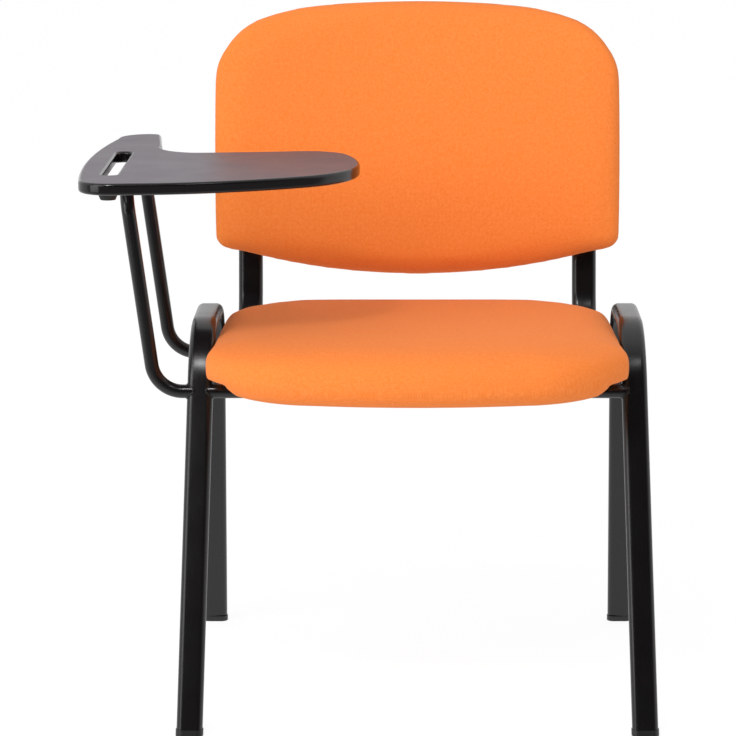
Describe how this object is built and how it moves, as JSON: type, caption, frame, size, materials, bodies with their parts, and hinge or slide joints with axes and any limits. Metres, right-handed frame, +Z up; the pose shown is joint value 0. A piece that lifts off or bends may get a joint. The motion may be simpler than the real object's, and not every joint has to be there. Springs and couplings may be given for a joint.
{
  "type": "stacking visitor chair with writing tablet",
  "caption": "Stacking visitor chair on black oval-tube hoops, with orange upholstered seat and back and a black fold-up writing tablet on a bent tube arm.",
  "frame": {"origin": "on the floor, midway between the four feet", "axes": "+Z up, -Y towards the front, where the sitter faces, X across the chair; the writing tablet is on the -X side, the sitter's right"},
  "size_m": [0.6594, 0.5224, 0.7964],
  "materials": {
    "frame_paint": "satin black enamel on steel tube",
    "seat_fabric": "plain woven orange upholstery",
    "plywood": "raw moulded plywood",
    "shell_plastic": "fine-grained black moulding",
    "foot_plastic": "plain black moulding",
    "tablet_plastic": "glossy black writing surface",
    "zinc_steel": "zinc-plated fasteners",
    "rubber_black": "matte black rubber"
  },
  "bodies": {
    "frame": {"side_hoop_left": "frame_paint", "side_hoop_right": "frame_paint", "crossbar_front": "frame_paint", "crossbar_rear": "frame_paint", "seat_back_tube_left": "frame_paint", "seat_back_tube_right": "frame_paint", "glide_front_left": "foot_plastic", "glide_front_right": "foot_plastic", "glide_rear_left": "foot_plastic", "glide_rear_right": "foot_plastic", "upright_cap_left": "foot_plastic", "upright_cap_right": "foot_plastic", "seat_tube_plug_left": "foot_plastic", "seat_tube_plug_right": "foot_plastic", "seat_board": "plywood", "seat_pad": "seat_fabric", "seat_bolts": "zinc_steel", "seat_rear_bolts": "zinc_steel", "seat_tee_nuts": "zinc_steel", "seat_spacers": "foot_plastic", "back_board": "plywood", "back_pad": "seat_fabric", "back_shell": "shell_plastic", "back_bolts": "zinc_steel", "back_tee_nuts": "zinc_steel", "arm_tube": "frame_paint", "stop_plate": "frame_paint", "stop_buffers": "rubber_black"},
    "tablet": {"tablet_board": "tablet_plastic", "hinge_leaf_front": "frame_paint", "hinge_leaf_rear": "frame_paint", "leaf_screws": "zinc_steel", "tablet_bumper": "rubber_black"}
  },
  "joints": [
    {"name": "tablet_fold", "type": "hinge", "parent": "frame", "child": "tablet", "pos_m": [-0.3333, 0, 0.6109], "axis": [0, -1, 0], "range_deg": [0, 100]}
  ]
}
